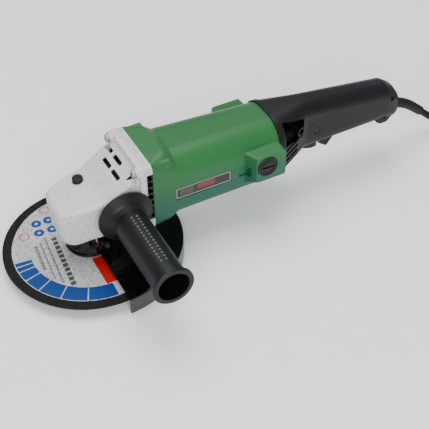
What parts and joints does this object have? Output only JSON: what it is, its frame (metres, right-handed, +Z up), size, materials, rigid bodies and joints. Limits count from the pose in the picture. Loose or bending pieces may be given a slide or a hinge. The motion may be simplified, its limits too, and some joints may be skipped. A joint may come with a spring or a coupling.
{
  "type": "angle grinder",
  "caption": "Mains angle grinder with aluminium gear head, half guard, cutting disc, side handle, green motor barrel, black rear handle with trigger and a coiled lead.",
  "frame": {"origin": "free end of the disc spindle, on the spindle's axis, at the height of the guard skirt's lower edge", "axes": "+X along the motor towards the rear handle, -Y along the side handle, +Z up, from the spindle's free end towards the gears"},
  "size_m": [0.7593, 0.2445, 0.1235],
  "materials": {
    "cast_aluminium": "cast, satin",
    "steel": "machined",
    "hardened_steel": "hardened and ground",
    "zinc_screws": "zinc plated",
    "green_housing": "moulded, fine grain",
    "black_plastic": "moulded, satin",
    "black_paint": "black gloss paint",
    "label": "printed film",
    "abrasive": "bonded abrasive with paper label",
    "laminations": "stacked sheet",
    "copper": "enamelled wire",
    "brass": "plain",
    "carbon": "pressed carbon",
    "rubber": "smooth rubber",
    "cable_tie": "nylon"
  },
  "bodies": {
    "housing": {"gear_housing": "cast_aluminium", "bearing_cover_plate": "cast_aluminium", "face_screws": "zinc_screws", "bearing_retainer": "cast_aluminium", "retainer_screws": "zinc_screws", "spindle_bearing_outer": "hardened_steel", "spindle_bush": "brass", "lock_spring": "steel", "side_handle_grip": "black_plastic", "side_handle_stud": "zinc_screws", "motor_housing": "green_housing", "label_plate": "label", "field_core": "laminations", "field_coils": "copper", "fan_baffle": "black_plastic", "front_bearing_outer": "hardened_steel", "rear_bearing_outer": "hardened_steel", "brush_holders": "brass", "carbon_brushes": "carbon", "brush_springs": "steel", "brush_caps": "black_plastic", "rear_handle_left": "black_plastic", "rear_handle_right": "black_plastic", "handle_screws": "zinc_screws", "trigger_pin": "steel", "switch_body": "black_plastic", "capacitor": "black_plastic", "cord_clamp": "black_plastic", "clamp_screws": "zinc_screws", "cord_guard": "rubber", "cord": "rubber", "cord_coil": "rubber", "cord_ties": "cable_tie", "plug_body": "rubber", "plug_pins": "brass"},
    "spindle": {"spindle": "hardened_steel", "spindle_bearing_inner": "hardened_steel", "spindle_bearing_balls": "hardened_steel", "gear_spacer": "steel", "gear_circlip": "steel", "bevel_gear": "hardened_steel", "inner_flange": "steel", "cutting_disc": "abrasive", "lock_nut": "steel"},
    "armature": {"armature_shaft": "steel", "armature_core": "laminations", "armature_winding": "copper", "commutator": "copper", "cooling_fan": "black_plastic", "pinion": "hardened_steel", "pinion_nut": "steel", "front_bearing_inner": "hardened_steel", "front_bearing_balls": "hardened_steel", "rear_bearing_inner": "hardened_steel", "rear_bearing_balls": "hardened_steel"},
    "guard": {"guard": "black_paint", "guard_clamp_screw": "zinc_screws"},
    "lock_button": {"spindle_lock_button": "black_plastic"},
    "trigger": {"switch_trigger": "black_plastic"},
    "lock_on_button": {"lock_on_button": "black_plastic"}
  },
  "joints": [
    {"name": "spindle_spin", "type": "hinge", "parent": "housing", "child": "spindle", "pos_m": [0, 0, 0.0455], "axis": [0, 0, 1], "continuous": true},
    {"name": "armature_spin", "type": "hinge", "parent": "housing", "child": "armature", "pos_m": [0, 0, 0.0815], "axis": [1, 0, 0], "continuous": true},
    {"name": "guard_turn", "type": "hinge", "parent": "housing", "child": "guard", "pos_m": [0, 0, 0.03], "axis": [0, 0, 1], "range_deg": [-90, 90]},
    {"name": "spindle_lock_press", "type": "slide", "parent": "housing", "child": "lock_button", "axis": [0, 0, -1], "range_m": [0, 0.004], "stiffness_N_per_m": 600, "springref_m": -0.004, "deforming": ["lock_spring"]},
    {"name": "trigger_squeeze", "type": "hinge", "parent": "housing", "child": "trigger", "pos_m": [0.245, 0, 0.058], "axis": [0, -1, 0], "range_deg": [0, 9], "stiffness_Nm_per_rad": 1.2, "springref_deg": -11.46},
    {"name": "lock_on_press", "type": "slide", "parent": "housing", "child": "lock_on_button", "axis": [0, 1, 0], "range_m": [0, 0.0025], "stiffness_N_per_m": 500, "springref_m": -0.003}
  ],
  "couplings": [
    {"joint": "armature_spin", "follows": "spindle_spin", "ratio": 3.4545}
  ]
}
